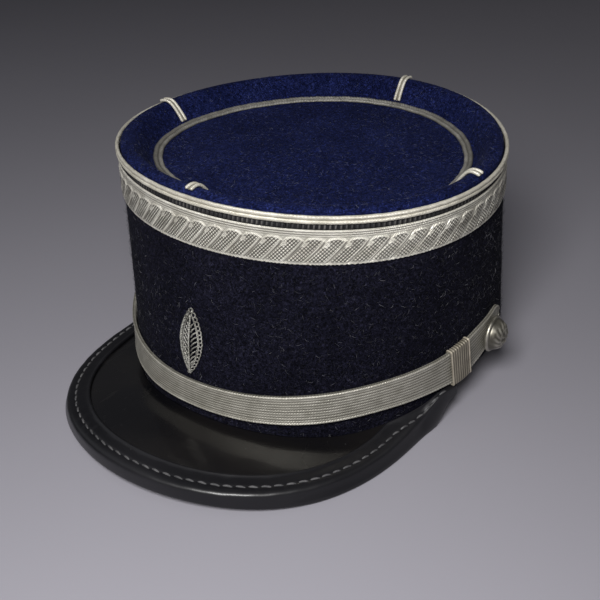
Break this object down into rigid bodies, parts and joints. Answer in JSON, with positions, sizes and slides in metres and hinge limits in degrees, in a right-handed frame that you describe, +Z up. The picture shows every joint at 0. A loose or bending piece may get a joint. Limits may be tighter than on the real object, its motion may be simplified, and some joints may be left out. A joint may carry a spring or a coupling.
{
  "type": "kepi cap",
  "caption": "Dark felt kepi cap with a sunken blue crown, silver piping and lace, a chin strap between domed buttons, an embroidered badge and a bound glossy visor.",
  "frame": {"origin": "middle of the cap's footprint, on the surface that the visor's sides and the back of the band stand on", "axes": "+Z up, -Y towards the front and the visor, +X towards the wearer's left"},
  "size_m": [0.192, 0.2458, 0.1181],
  "materials": {
    "band_felt": "napped wool felt",
    "crown_felt": "napped wool felt",
    "silver_lace": "woven metal thread",
    "silver_braid": "metal thread cord",
    "ribbon": "ribbed ribbon",
    "strap_braid": "ribbed metal thread",
    "button_metal": "dull white metal",
    "badge_thread": "embroidered metal thread",
    "visor_leather": "glossy",
    "binding_leather": "satin"
  },
  "bodies": {
    "root": {"body_band": "band_felt", "crown_top": "crown_felt", "top_piping": "silver_braid", "grosgrain_ribbon": "ribbon", "lace_band": "silver_lace", "ring_braid": "silver_braid", "braid_front": "silver_braid", "braid_left": "silver_braid", "braid_back": "silver_braid", "braid_right": "silver_braid", "chin_strap": "strap_braid", "strap_loop_left": "strap_braid", "strap_loop_right": "strap_braid", "button_left": "button_metal", "button_right": "button_metal", "badge": "badge_thread", "visor": "visor_leather", "visor_binding": "binding_leather"}
  },
  "joints": []
}
